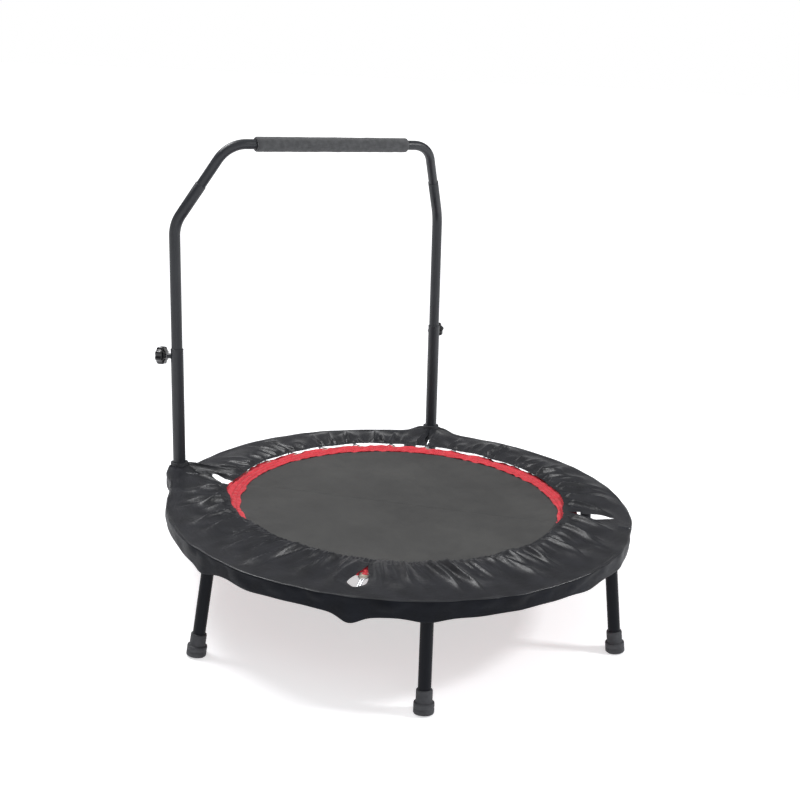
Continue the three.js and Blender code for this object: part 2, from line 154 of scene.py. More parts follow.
class Shader:
    """A Principled material that is built up one node at a time."""

    def __init__(self, name, roughness, metallic=0.0, **sockets):
        self.material = bpy.data.materials.new(name)
        self.material.use_nodes = True
        self.tree = self.material.node_tree
        self.bsdf = self.tree.nodes["Principled BSDF"]
        self.bsdf.inputs["Roughness"].default_value = roughness
        self.bsdf.inputs["Metallic"].default_value = metallic
        for socket, value in sockets.items():
            self.bsdf.inputs[socket.replace("_", " ")].default_value = value
        self.last_bump = None

    def node(self, kind, inputs=None, **settings):
        made = self.tree.nodes.new(kind)
        for key, value in settings.items():
            setattr(made, key, value)
        for socket, value in (inputs or {}).items():
            if isinstance(value, bpy.types.NodeSocket):
                self.tree.links.new(value, made.inputs[socket])
            else:
                made.inputs[socket].default_value = value
        return made

    def place(self, kind="Object", scale=(1, 1, 1)):
        source = self.node("ShaderNodeTexCoord").outputs[kind]
        return self.node("ShaderNodeMapping", {"Vector": source, "Scale": scale}).outputs["Vector"]

    def noise(self, scale, detail=3.0, kind="Object", stretch=(1, 1, 1), roughness=0.5):
        inputs = {
            "Vector": self.place(kind, stretch),
            "Scale": scale,
            "Detail": detail,
            "Roughness": roughness,
        }
        return self.node("ShaderNodeTexNoise", inputs).outputs["Fac"]

    def threads(self, pitch, kind="UV"):
        """Crossing threads, as a height: the warp and the weft each take the top in turn."""
        waves = []
        for direction in ("X", "Y"):
            inputs = {"Vector": self.place(kind), "Scale": 1.0 / (pitch * 3.1416), "Distortion": 0.0}
            wave = self.node("ShaderNodeTexWave", inputs, bands_direction=direction)
            waves.append(wave.outputs["Fac"])
        return self.math("MULTIPLY", waves[0], waves[1])

    def math(self, operation, first, second):
        made = self.node("ShaderNodeMath", operation=operation)
        for index, value in enumerate((first, second)):
            if isinstance(value, bpy.types.NodeSocket):
                self.tree.links.new(value, made.inputs[index])
            else:
                made.inputs[index].default_value = value
        return made.outputs["Value"]

    def ramp(self, factor, stops):
        made = self.node("ShaderNodeValToRGB", {"Fac": factor})
        elements = made.color_ramp.elements
        while len(elements) < len(stops):
            elements.new(0.5)
        for element, (position, colour) in zip(elements, stops):
            element.position = position
            element.color = (*colour, 1.0)
        return made.outputs["Color"]

    def colour(self, socket):
        self.tree.links.new(socket, self.bsdf.inputs["Base Color"])

    def roughen(self, factor, low, high):
        inputs = {"Value": factor, "To Min": low, "To Max": high}
        made = self.node("ShaderNodeMapRange", inputs)
        self.tree.links.new(made.outputs["Result"], self.bsdf.inputs["Roughness"])

    def bump(self, height, distance, strength=1.0):
        made = self.node("ShaderNodeBump", {"Height": height, "Distance": distance, "Strength": strength})
        if self.last_bump:
            self.tree.links.new(self.last_bump, made.inputs["Normal"])
        self.last_bump = made.outputs["Normal"]
        self.tree.links.new(self.last_bump, self.bsdf.inputs["Normal"])


def linear(red, green, blue):
    """A colour given in 0 to 255 sRGB steps, as the linear values that a shader takes."""
    shares = [value / 255 for value in (red, green, blue)]
    return tuple(s / 12.92 if s <= 0.04045 else ((s + 0.055) / 1.055) ** 2.4 for s in shares)


def powder_coat(name, dark, light, specular):
    s = Shader(name, 0.42, 0.0, Specular_IOR_Level=specular)
    cloud = s.noise(9.0, 4.0)
    s.colour(s.ramp(cloud, [(0.3, dark), (0.7, light)]))
    s.roughen(s.noise(60.0, 3.0), 0.36, 0.5)
    s.bump(s.noise(900.0, 2.0), 0.00015, 0.35)
    return s.material


def zinc():
    s = Shader("zinc_plate", 0.3, 1.0)
    s.colour(s.ramp(s.noise(140.0, 3.0), [(0.3, linear(176, 178, 182)), (0.75, linear(226, 227, 230))]))
    s.roughen(s.noise(500.0, 2.0), 0.2, 0.38)
    return s.material


def coated_cloth(name, dark, light, roughness, sheen, specular):
    s = Shader(name, roughness, 0.0, Sheen_Weight=sheen, Sheen_Roughness=0.4,
               Specular_IOR_Level=specular)
    cloud = s.noise(26.0, 5.0, "UV")
    s.colour(s.ramp(cloud, [(0.32, dark), (0.68, light)]))
    s.roughen(s.noise(75.0, 4.0, "UV"), roughness - 0.07, roughness + 0.1)
    s.bump(s.noise(42.0, 4.0, "UV", (1.0, 2.6, 1.0), 0.6), 0.0016, 0.45)
    s.bump(s.threads(0.0011), 0.00012, 0.5)
    return s.material


def woven_mat():
    s = Shader("woven_mat", 0.62, 0.0, Sheen_Weight=0.05, Specular_IOR_Level=0.35)
    weave = s.threads(0.0026, "Object")
    cloud = s.noise(7.0, 4.0)
    scuffs = s.noise(55.0, 5.0, roughness=0.7)
    shade = s.math("ADD", s.math("MULTIPLY", cloud, 0.55), s.math("MULTIPLY", scuffs, 0.45))
    s.colour(s.ramp(shade, [(0.35, linear(56, 56, 56)), (0.65, linear(70, 70, 69))]))
    s.roughen(scuffs, 0.55, 0.7)
    s.bump(weave, 0.0005, 0.5)
    s.bump(s.noise(6.0, 2.0), 0.006, 0.15)
    return s.material


def red_band():
    s = Shader("red_band", 0.55, 0.0, Sheen_Weight=0.25, Sheen_Roughness=0.4)
    cloud = s.noise(30.0, 4.0, "UV")
    s.colour(s.ramp(cloud, [(0.3, linear(196, 28, 44)), (0.7, linear(222, 46, 62))]))
    s.bump(s.noise(70.0, 3.0, "UV", (1.0, 2.0, 1.0)), 0.0012, 0.5)
    s.bump(s.threads(0.0016), 0.0003, 0.6)
    return s.material


def webbing():
    s = Shader("webbing", 0.8, 0.0)
    s.colour(s.ramp(s.noise(200.0, 3.0), [(0.3, linear(168, 160, 146)), (0.7, linear(204, 196, 182))]))
    s.bump(s.threads(0.0014), 0.0004, 0.8)
    return s.material


def thread():
    s = Shader("sewing_thread", 0.6, 0.0)
    s.colour(s.ramp(s.noise(300.0, 2.0), [(0.3, linear(120, 16, 28)), (0.7, linear(160, 28, 42))]))
    s.bump(s.noise(2500.0, 1.0), 0.0002, 0.5)
    return s.material


def foam():
    s = Shader("grip_foam", 0.88, 0.0, Sheen_Weight=0.1)
    s.colour(s.ramp(s.noise(110.0, 5.0), [(0.3, linear(62, 63, 65)), (0.7, linear(78, 79, 81))]))
    pores = s.node("ShaderNodeTexVoronoi", {"Vector": s.place(), "Scale": 900.0}).outputs["Distance"]
    s.bump(pores, 0.0004, 0.6)
    s.bump(s.noise(35.0, 3.0), 0.001, 0.4)
    return s.material


def rubber():
    s = Shader("foot_rubber", 0.6, 0.0)
    s.colour(s.ramp(s.noise(80.0, 4.0), [(0.3, linear(46, 47, 51)), (0.7, linear(60, 61, 65))]))
    s.roughen(s.noise(120.0, 4.0), 0.5, 0.75)
    s.bump(s.noise(700.0, 2.0), 0.0002, 0.5)
    return s.material


def gloss_plastic():
    s = Shader("knob_plastic", 0.2, 0.0)
    s.colour(s.ramp(s.noise(90.0, 3.0), [(0.3, linear(18, 18, 20)), (0.7, linear(27, 27, 30))]))
    s.roughen(s.noise(200.0, 4.0), 0.14, 0.3)
    s.bump(s.noise(150.0, 2.0), 0.0002, 0.3)
    return s.material


LOOKS = {
    PAINTED: powder_coat("powder_coat", linear(24, 27, 33), linear(32, 35, 41), 0.5),
    # Painted shade: the legs wear a darker copy of the posts' powder coat, standing in for the shade under
    # the cover and offsetting the light the floor throws up on them.
    "leg_coat_painted_shade": powder_coat("leg_coat_painted_shade", linear(13, 15, 20), linear(19, 21, 27), 0.12),
    STEEL: zinc(),
    COVER: coated_cloth("cover_cloth", linear(25, 26, 30), linear(38, 39, 44), 0.34, 0.03, 0.42),
    # The side panel is a darker, bluer cloth than the top, and its colour is made darker still as painted
    # shade, for the shade below the rim and against the light the floor throws up on it.
    "panel": coated_cloth("cover_side_panel_painted_shade", linear(9, 11, 17), linear(15, 18, 26), 0.5, 0.02, 0.12),
    MAT: woven_mat(),
    BORDER: red_band(),
    FOAM: foam(),
    RUBBER: rubber(),
    KNOB: gloss_plastic(),
    "webbing": webbing(),
    "thread": thread(),
}


# ---------------------------------------------------------------- mesh helpers

def polar(radius, degrees, height):
    turn = math.radians(degrees)
    return np.array([radius * math.cos(turn), radius * math.sin(turn), height])


def unit(vector):
    return vector / np.linalg.norm(vector)


def grid_faces(rows, columns, wrap_columns=False, wrap_rows=False):
    """Quads of a grid whose vertices are stored row by row."""
    row = np.arange(rows if wrap_rows else rows - 1)
    column = np.arange(columns if wrap_columns else columns - 1)
    row, column = np.meshgrid(row, column, indexing="ij")
    next_row = (row + 1) % rows
    next_column = (column + 1) % columns
    corners = [(row, column), (row, next_column), (next_row, next_column), (next_row, column)]
    return np.stack([r * columns + c for r, c in corners], axis=-1).reshape(-1, 4)


def make_mesh(name, vertices, faces, look, uv=None):
    mesh = bpy.data.meshes.new(name)
    mesh.from_pydata(np.asarray(vertices).tolist(), [], [list(map(int, f)) for f in faces])
    mesh.polygons.foreach_set("use_smooth", [True] * len(mesh.polygons))
    if uv is not None:
        layer = mesh.uv_layers.new(name="UVMap")
        corner_vertex = np.empty(len(mesh.loops), np.int64)
        mesh.loops.foreach_get("vertex_index", corner_vertex)
        layer.data.foreach_set("uv", np.asarray(uv, np.float32)[corner_vertex].ravel())
    mesh.materials.append(look)
    mesh.update()
    made = bpy.data.objects.new(name, mesh)
    bpy.context.scene.collection.objects.link(made)
    return made


def outward_normals(piece):
    bm = bmesh.new()
    bm.from_mesh(piece.data)
    bmesh.ops.recalc_face_normals(bm, faces=bm.faces)
    bm.to_mesh(piece.data)
    bm.free()
    return piece


def crisp(piece, degrees=35):
    """Shades smoothly, except over edges sharper than that angle."""
    piece.data.set_sharp_from_angle(angle=math.radians(degrees))
    return piece


def frames_along(points, closed=False):
    """Two directions across a path at each of its points, carried along with no twist."""
    ahead = np.roll(points, -1, axis=0) - points
    behind = points - np.roll(points, 1, axis=0)
    if not closed:
        ahead[-1] = behind[-1]
        behind[0] = ahead[0]
    tangents = ahead + behind
    tangents /= np.linalg.norm(tangents, axis=1)[:, None]
    start = np.array([0, 0, 1.0]) if abs(tangents[0][2]) < 0.9 else np.array([0, 1.0, 0])
    across = []
    for tangent in tangents:
        start = unit(start - tangent * (start @ tangent))
        across.append(start)
    across = np.array(across)
    return across, np.cross(tangents, across)


def sweep(name, points, radius, look, sides=24, closed=False):
    """A round tube along the points. radius is one number, or one for each point."""
    points = np.asarray(points, float)
    radii = np.broadcast_to(np.asarray(radius, float), (len(points),))
    across, over = frames_along(points, closed)
    turn = np.linspace(0, 2 * np.pi, sides, endpoint=False)
    rim = across[:, None] * np.cos(turn)[None, :, None] + over[:, None] * np.sin(turn)[None, :, None]
    vertices = (points[:, None] + rim * radii[:, None, None]).reshape(-1, 3)
    faces = [list(f) for f in grid_faces(len(points), sides, True, closed)]
    if not closed:
        faces.append(list(range(sides))[::-1])
        faces.append([len(vertices) - sides + i for i in range(sides)])
    along = np.concatenate([[0], np.cumsum(np.linalg.norm(np.diff(points, axis=0), axis=1))])
    uv = np.stack(np.meshgrid(along, turn * radii[0], indexing="ij"), -1).reshape(-1, 2)
    return crisp(outward_normals(make_mesh(name, vertices, faces, look, uv)))


def lathe(name, profile, start, direction, look, segments=48, lobes=None):
    """A profile of (radius, distance) turned about an axis. lobes gives a radius factor for each angle."""
    direction = unit(np.asarray(direction, float))
    side = unit(np.cross(direction, [0.3, 0.9, 0.2]))
    over = np.cross(direction, side)
    turn = np.linspace(0, 2 * np.pi, segments, endpoint=False)
    factor = np.ones(segments) if lobes is None else lobes(turn)
    rings = []
    for radius, distance in profile:
        rim = side[None] * np.cos(turn)[:, None] + over[None] * np.sin(turn)[:, None]
        rings.append(start + direction * distance + rim * (radius * factor)[:, None])
    vertices = np.concatenate(rings)
    faces = [list(f) for f in grid_faces(len(profile), segments, True)]
    faces.append(list(range(segments))[::-1])
    faces.append([len(vertices) - segments + i for i in range(segments)])
    run = np.concatenate([[0], np.cumsum(np.linalg.norm(np.diff(np.array(profile), axis=0), axis=1))])
    uv = np.stack(np.meshgrid(run, turn * 0.02, indexing="ij"), -1).reshape(-1, 2)
    return crisp(outward_normals(make_mesh(name, vertices, faces, look, uv)))


def rounded_path(corners, radii, steps=14):
    """Points along straight runs whose inner corners are rounded to the radii given."""
    points = [np.asarray(corners[0], float)]
    for i in range(1, len(corners) - 1):
        corner = np.asarray(corners[i], float)
        back = unit(corners[i - 1] - corner)
        ahead = unit(corners[i + 1] - corner)
        half = math.acos(float(np.clip(back @ ahead, -1, 1))) / 2
        centre = corner + unit(back + ahead) * radii[i - 1] / math.sin(half)
        first = corner + back * radii[i - 1] / math.tan(half) - centre
        last = corner + ahead * radii[i - 1] / math.tan(half) - centre
        total = math.pi - 2 * half
        for s in range(steps + 1):
            a = total * s / steps
            points.append(centre + (first * math.sin(total - a) + last * math.sin(a)) / math.sin(total))
    points.append(np.asarray(corners[-1], float))
    return np.array(points)


def join(name, pieces):
    """Several meshes with the same look as one object."""
    bpy.ops.object.select_all(action="DESELECT")
    for piece in pieces:
        piece.select_set(True)
    bpy.context.view_layer.objects.active = pieces[0]
    bpy.ops.object.join()
    pieces[0].name = name
    return pieces[0]


def waves(x, y, count, low, high):
    """Smooth noise of about -1 to 1 from sine waves of random direction, between two wavelengths."""
    total = np.zeros(np.broadcast(x, y).shape)
    for _ in range(count):
        length = rng.uniform(low, high)
        turn = rng.uniform(0, 2 * np.pi)
        total += np.sin(2 * np.pi * (x * math.cos(turn) + y * math.sin(turn)) / length + rng.uniform(0, 6.28))
    return total / math.sqrt(count)


def smooth_step(value, low, high):
    t = np.clip((value - low) / (high - low), 0, 1)
    return t * t * (3 - 2 * t)


# ---------------------------------------------------------------- ring, legs and feet

def give_look(node, look):
    mesh = frame["nodes"][node].data
    mesh.materials.clear()
    mesh.materials.append(look)


for sub in frame["record"]["subparts"]:
    give_look(sub["node"], LOOKS[sub["material_slot"]])

QUARTERS = {"rear": 45, "left": 135, "front": 225, "right": 315}
HALF_OF = {"rear": "rear_frame", "right": "rear_frame", "left": "front_frame", "front": "front_frame"}
MAT_OF = {"rear_frame": "mat_rear", "front_frame": "mat_front"}

for quarter, start in QUARTERS.items():
    angles = np.linspace(start + 0.9, start + 89.1, 90)
    path = np.array([polar(RING_RADIUS, a, RING_HEIGHT) for a in angles])
    tube = sweep(f"ring_tube_{quarter}", path, RING_TUBE, LOOKS[PAINTED], 24)
    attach(tube, HALF_OF[quarter])
    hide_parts(f"frame_arc_{quarter}")

FOOT_PROFILE = [
    (0.0172, 0.0), (0.0190, 0.0008), (0.0196, 0.0022), (0.0196, 0.0098), (0.0191, 0.0108),
    (0.0191, 0.0122), (0.0196, 0.0132), (0.0196, 0.0196), (0.0191, 0.0212), (0.0178, 0.0220),
    (0.0162, 0.0224), (0.0157, 0.0232), (0.0157, 0.0430), (0.0152, 0.0448), (0.0141, 0.0458),
    (0.0127, 0.0460),
]

for name, angle in LEG_ANGLES.items():
    body = "rear_frame" if name in REAR_LEGS else "front_frame"
    foot = polar(LEG_FOOT_RADIUS, angle, 0.0)
    top = polar(LEG_TOP_RADIUS, angle, LEG_TOP_HEIGHT)
    up = unit(top - foot)
    reach = [0.008, 0.012, 0.060, 0.110, 0.150, 0.192]
    # The legs take the darker coat, which is painted shade for the shade under the cover.
    tube = sweep(f"leg_tube_{name}", [foot + up * d / up[2] for d in reach], LEG_TUBE, LOOKS["leg_coat_painted_shade"], 32)
    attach(tube, body)
    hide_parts(f"leg_{name}")
    boot = lathe(f"foot_boot_{name}", FOOT_PROFILE, foot, up, LOOKS[RUBBER], 56)
    points = np.array([v.co for v in boot.data.vertices])
    points[:, 2] = np.maximum(points[:, 2], 0.0)
    boot.data.vertices.foreach_set("co", points.ravel())
    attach(boot, body)
    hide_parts(f"foot_{name}")


# ---------------------------------------------------------------- posts, handlebar, grip and knobs

def post_point(side, height):
    return np.array([POST_X * side, POST_Y + POST_LEAN * (height - POST_Y_HEIGHT), height])


def knob_lobes(turn):
    return 1 - 0.062 * (1 - np.cos(8 * turn))


KNOB_PROFILE = [
    (0.0090, 0.0262), (0.0112, 0.0266), (0.0120, 0.0280), (0.0160, 0.0288), (0.0196, 0.0298),
    (0.0208, 0.0318), (0.0212, 0.0345), (0.0212, 0.0415), (0.0207, 0.0442), (0.0192, 0.0462),
    (0.0168, 0.0470), (0.0130, 0.0466), (0.0118, 0.0458), (0.0108, 0.0458), (0.0100, 0.0468),
    (0.0070, 0.0476), (0.0012, 0.0478),
]

for name, side in (("left", -1), ("right", 1)):
    up = unit(post_point(side, 1.0) - post_point(side, 0.0))
    foot = post_point(side, 0.0)
    stretch = 1 / up[2]
    inner = POST_TUBE - POST_WALL
    profile = [
        (inner, 0.300),
        (inner, POST_BOTTOM),
        (POST_TUBE - 0.0004, POST_BOTTOM),
        (POST_TUBE, POST_BOTTOM + 0.0005),
        (POST_TUBE, 0.220),
        (POST_TUBE, 0.350),
        (POST_TUBE, POST_TOP - 0.004),
        (POST_TUBE + 0.0004, POST_TOP - 0.002),
        (POST_TUBE + 0.0001, POST_TOP - 0.0005),
        (POST_TUBE - 0.0008, POST_TOP),
        (inner - 0.0001, POST_TOP - 0.0008),
        (inner - 0.0001, 0.440),
    ]
    post = lathe(f"post_tube_{name}", [(r, d * stretch) for r, d in profile], foot, up, LOOKS[PAINTED], 48)
    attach(post, "rear_frame")
    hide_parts(f"post_lower_{name}")

    outward = polar(1.0, KNOB_ANGLE, 0.0) * np.array([side, 1, 1])
    outward = unit(outward - up * (outward @ up))
    seat = post_point(side, KNOB_HEIGHT)
    knob = lathe(f"knob_head_{name}", KNOB_PROFILE, seat, outward, LOOKS[KNOB], 96, knob_lobes)
    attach(knob, f"knob_{name}")
    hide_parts(f"knob_{name}")

    mirror = np.array([side, 1, 1])
    lower = post_point(1, LOWER_BEND_HEIGHT)
    middle = (lower + UPPER_BEND) / 2
    path = rounded_path([post_point(1, SLIDER_BOTTOM), lower, middle], [LOWER_BEND_RADIUS]) * mirror
    near_end = unit(path[-2] - path[-1])
    path = np.concatenate([path[:-1], [path[-1] + near_end * 0.0012, path[-1]]])
    radii = np.full(len(path), SLIDER_TUBE)
    radii[-1] = SLIDER_TUBE - 0.0008
    tube = sweep(f"handlebar_side_{name}", path, radii, LOOKS[PAINTED], 40)
    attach(tube, "handlebar")
    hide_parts(f"handlebar_tube_{name}")

lower = post_point(1, LOWER_BEND_HEIGHT)
end = (lower + UPPER_BEND) / 2 + unit(lower - UPPER_BEND) * BAR_INSERT
flip = np.array([-1, 1, 1])
bar_path = rounded_path([end * flip, UPPER_BEND * flip, UPPER_BEND, end], [UPPER_BEND_RADIUS] * 2)
bar = sweep("handlebar_top_bar", bar_path, BAR_TUBE, LOOKS[PAINTED], 40)
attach(bar, "handlebar")
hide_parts("handlebar_top")


def foam_grip():
    """The foam sleeve: rounded ends and a skin that is never quite even."""
    along = np.concatenate([[0.0, 0.0, 0.0006, 0.0018, 0.004], np.linspace(0.012, 2 * GRIP_HALF - 0.012, 90)])
    along = np.concatenate([along, 2 * GRIP_HALF - np.array([0.004, 0.0018, 0.0006, 0.0, 0.0])])
    ends = np.array([BAR_TUBE + 0.0003, GRIP_RADIUS - 0.0018, GRIP_RADIUS - 0.0008, GRIP_RADIUS - 0.0002])
    radii = np.concatenate([ends, np.full(len(along) - 8, GRIP_RADIUS), ends[::-1]])
    segments = 48
    turn = np.linspace(0, 2 * np.pi, segments, endpoint=False)
    skin = waves(along[:, None], turn[None] * GRIP_RADIUS, 10, 0.012, 0.07) * 0.00022
    skin[radii < GRIP_RADIUS - 0.001] = 0
    around = radii[:, None] + skin
    x = np.broadcast_to((along - GRIP_HALF)[:, None], around.shape)
    y = UPPER_BEND[1] + around * np.cos(turn)
    z = UPPER_BEND[2] + around * np.sin(turn)
    uv = np.stack(np.meshgrid(along, turn * GRIP_RADIUS, indexing="ij"), -1).reshape(-1, 2)
    vertices = np.stack([x, y, z], -1).reshape(-1, 3)
    faces = grid_faces(len(along), segments, True, True)
    return outward_normals(make_mesh("grip_sleeve", vertices, faces, LOOKS[FOAM], uv))


grip = foam_grip()
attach(grip, "handlebar")
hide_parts("handlebar_grip")


# ---------------------------------------------------------------- mat, red border and its stitching

SCALLOPS = 28
STITCH_ROWS = (0.357, 0.369, 0.383)
STITCH_PITCH = 0.0048
STITCH_LENGTH = 0.0034
STITCH_RADIUS = 0.00045
STITCH_HEIGHT = MAT_TOP + 0.0015


def half_angles(body, count):
    """Angles across one half of the mat, from fold line to fold line, in radians."""
    start = FOLD_ANGLE if body == "mat_front" else FOLD_ANGLE - 180
    return np.radians(np.linspace(start, start + 180, count))


def slab_faces(rows, columns):
    """Faces of a closed slab whose vertices are a top grid followed by a bottom grid of the same size."""
    sheet = grid_faces(rows, columns)
    count = rows * columns
    rim = np.concatenate([
        np.arange(columns),
        np.arange(1, rows) * columns + columns - 1,
        (rows - 1) * columns + np.arange(columns - 2, -1, -1),
        np.arange(rows - 2, 0, -1) * columns,
    ])
    following = np.roll(rim, -1)
    sides = np.stack([rim, following, following + count, rim + count], -1)
    return np.concatenate([sheet, sheet[:, ::-1] + count, sides])


def closed_slab(name, radius, angle, top, bottom, look):
    """A thin slab on a polar grid: radius, top and bottom have a row for each ring of the grid."""
    flat = [radius * np.cos(angle), radius * np.sin(angle)]
    upper = np.stack([*flat, top], -1).reshape(-1, 3)
    lower = np.stack([*flat, bottom], -1).reshape(-1, 3)
    uv = np.stack([angle * radius.mean(axis=1, keepdims=True), radius], -1).reshape(-1, 2)
    uv = np.concatenate([uv, uv])
    vertices = np.concatenate([upper, lower])
    return outward_normals(make_mesh(name, vertices, slab_faces(*radius.shape), look, uv))


def mat_half(body):
    angle = half_angles(body, 181)[None]
    steps = np.concatenate([[0.0004], np.linspace(0.01, MAT_RADIUS + 0.004, 60)])
    radius = np.broadcast_to(steps[:, None], (len(steps), angle.shape[1]))
    pull = smooth_step(radius, 0.24, MAT_RADIUS) * np.cos(SCALLOPS * angle) * 0.0007
    dip = -0.0010 * (1 - (radius / MAT_RADIUS) ** 2)
    top = MAT_TOP + pull + dip
    made = closed_slab(f"mat_cloth_{body[4:]}", radius, angle, top, top - MAT_THICK, LOOKS[MAT])
    clear_of_seam = polar(SEAM_CLEARANCE, math.degrees(angle.mean()), 0)
    made.data.transform(Matrix.Translation(clear_of_seam))
    return crisp(made, 50)


def border_top(radius, angle):
    """Height of the red band's top: pinched along its rows of stitches and puckered between them."""
    rows = np.array(STITCH_ROWS)
    nearest = np.min(np.abs(radius[..., None] - rows), axis=-1)
    puff = 0.0019 * smooth_step(nearest, 0.0, 0.0055)
    arc = angle * 0.37
    pucker = waves(arc, radius * 0.5, 14, 0.012, 0.035) * 0.0009 * smooth_step(nearest, 0.0, 0.004)
    lift = 0.0012 * np.cos(SCALLOPS * angle) * smooth_step(radius, 0.375, 0.392)
    return MAT_TOP + 0.0012 + puff + pucker + lift


def border_half(body):
    angle = half_angles(body, 721)[None]
    share = np.linspace(0, 1, 34)[:, None]
    ripple = 0.0025 * np.abs(np.sin(SCALLOPS / 2 * angle)) ** 0.7
    inner = MAT_RADIUS - 0.004 + ripple + 0.0018 * waves(angle * 0.35, 0.0, 6, 0.04, 0.14)
    outer = BORDER_RADIUS - 0.0022 * np.cos(SCALLOPS * angle) ** 2
    radius = inner + (outer - inner) * share
    top = border_top(radius, angle)
    edge = np.minimum(share, 1 - share)
    top = top - 0.0013 * (1 - smooth_step(edge, 0.0, 0.09))
    bottom = np.full_like(top, MAT_TOP - MAT_THICK)
    bottom = np.where(radius < MAT_RADIUS + 0.001, top - 0.0006, bottom)
    made = closed_slab(f"border_band_{body[4:]}", radius, angle, top, bottom, LOOKS[BORDER])
    return crisp(made, 60)


def stitch_rows(body):
    """Thread bars along the band's rows, each one a stretched octahedron."""
    start = half_angles(body, 2)[0]
    vertices, faces = [], []
    for row in STITCH_ROWS:
        count = int(math.pi * row / STITCH_PITCH)
        for i in range(count):
            angle = start + math.pi * (i + 0.5) / count
            centre = np.array([row * math.cos(angle), row * math.sin(angle), STITCH_HEIGHT])
            along = np.array([-math.sin(angle), math.cos(angle), 0]) * STITCH_LENGTH / 2
            across = np.array([math.cos(angle), math.sin(angle), 0]) * STITCH_RADIUS
            up = np.array([0, 0, STITCH_RADIUS])
            base = len(vertices)
            vertices += [
                centre - along, centre + across, centre + up, centre - across, centre - up, centre + along,
            ]
            for a, b in ((1, 2), (2, 3), (3, 4), (4, 1)):
                faces += [[base, base + b, base + a], [base + 5, base + a, base + b]]
    name = f"border_stitches_{body[4:]}"
    return outward_normals(make_mesh(name, vertices, faces, LOOKS["thread"]))


# ---------------------------------------------------------------- springs, their wire rings and webbing tabs

WIRE = 0.0009
COIL_RADIUS = 0.0034
COIL_START = 0.4165
COIL_END = 0.4625
COIL_TURNS = 20
HOOK_RADIUS = 0.0030
RING_WIRE = 0.00125
RING_BASE = 0.3955
RING_APEX = 0.4135
RING_HALF_WIDTH = 0.011
RING_CORNER = 0.0022
TAB_HALF_WIDTH = 0.0085
TAB_THICK = 0.0009


def spring_path():
    """Centreline along +X of one spring: hook through the wire ring, coil, and hook into the frame tube."""
    turn = np.linspace(0, 2 * np.pi * COIL_TURNS, COIL_TURNS * 12 + 1)
    coil = np.stack([
        COIL_START + (COIL_END - COIL_START) * turn / turn[-1],
        COIL_RADIUS * np.cos(turn),
        COIL_RADIUS * np.sin(turn),
    ], -1)
    bend = np.radians(np.linspace(200, 0, 12))
    hook = np.stack([
        RING_APEX + 0.0008 + HOOK_RADIUS * (np.cos(bend) - 1),
        0 * bend,
        -0.0026 * np.sin(bend),
    ], -1)
    hook_in = np.concatenate([hook, [[COIL_START - 0.0010, 0.0012, 0.0]]])
    hook_out = np.array([
        [COIL_END + 0.0010, 0.0016, 0.0], [0.4665, 0.0, 0.0], [0.4705, 0.0, 0.0004],
        [0.4745, 0.0, 0.0006], [0.4775, 0.0, -0.0004], [0.4790, 0.0, -0.0030],
    ])
    return np.concatenate([hook_in, coil, hook_out])


def turned_to(points, degrees, height):
    turn = math.radians(degrees)
    x = points[:, 0] * math.cos(turn) - points[:, 1] * math.sin(turn)
    y = points[:, 0] * math.sin(turn) + points[:, 1] * math.cos(turn)
    return np.stack([x, y, points[:, 2] + height], -1)


def wire_ring(name, degrees):
    """The triangle of wire that a spring hooks into."""
    middle = np.array([RING_BASE, 0.0, 0.0])
    side = np.array([0.0, RING_HALF_WIDTH, 0.0])
    apex = np.array([RING_APEX, 0.0, 0.0])
    path = rounded_path([middle, middle - side, apex, middle + side, middle], [RING_CORNER] * 3, 6)[:-1]
    return sweep(name, turned_to(path, degrees, SPRING_HEIGHT), RING_WIRE, LOOKS[STEEL], 10, closed=True)


def webbing_tab(name, degrees):
    """A strap folded round the wire ring's base and sewn under and over the band's edge."""
    bend = np.radians(np.linspace(90, -90, 9))
    reach = RING_BASE + 0.0002
    upper = [(0.3840, 0.0032), (0.3890, 0.0031), (0.3930, 0.0026)]
    fold = [(reach + 0.0021 * math.cos(b), 0.0021 * math.sin(b)) for b in bend]
    lower = [(0.3925, -0.0024), (0.3880, -0.0026), (0.3830, -0.0026)]
    outside = np.array(upper + fold + lower)
    inside = outside * [1, 0.62] - [TAB_THICK, 0]
    spread = np.linspace(-1, 1, 7)
    strip = []
    for line in (outside, inside):
        for r, z in line:
            widening = 1 + 0.10 * (r - 0.384) / 0.012
            strip += [(r, s * TAB_HALF_WIDTH * widening, z) for s in spread]
    strip = np.array(strip)
    vertices = turned_to(strip, degrees, SPRING_HEIGHT)
    faces = slab_faces(len(outside), len(spread))
    return outward_normals(make_mesh(name, vertices, faces, LOOKS["webbing"], strip[:, :2]))


path_of_spring = spring_path()
rings_of = {"mat_rear": [], "mat_front": []}
tabs_of = {"mat_rear": [], "mat_front": []}

for quarter, start in QUARTERS.items():
    half = HALF_OF[quarter]
    body = MAT_OF[half]
    for i in range(SPRINGS_PER_QUARTER):
        degrees = start + FIRST_SPRING[quarter] + 90 * i / SPRINGS_PER_QUARTER
        name = f"{quarter}_{i + 1}"
        path = turned_to(path_of_spring, degrees, SPRING_HEIGHT)
        coil = sweep(f"spring_{name}", path, WIRE, LOOKS[STEEL], 6)
        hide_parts(f"springs_{quarter}")
        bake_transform(coil)
        rings_of[body].append(wire_ring(f"wire_ring_{name}", degrees))
        tabs_of[body].append(webbing_tab(f"webbing_tab_{name}", degrees))

for body in ("mat_rear", "mat_front"):
    side = body[4:]
    cloth = mat_half(body)
    band = border_half(body)
    stitches = stitch_rows(body)
    rings = join(f"wire_rings_{side}", rings_of[body])
    tabs = join(f"webbing_tabs_{side}", tabs_of[body])
    slots = ((cloth, MAT), (band, BORDER), (stitches, BORDER), (rings, STEEL), (tabs, BORDER))
    for piece, slot in slots:
        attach(piece, body)
    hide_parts(f"mat_{side}")
    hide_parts(f"mat_border_{side}")


# ---------------------------------------------------------------- the gathered cover

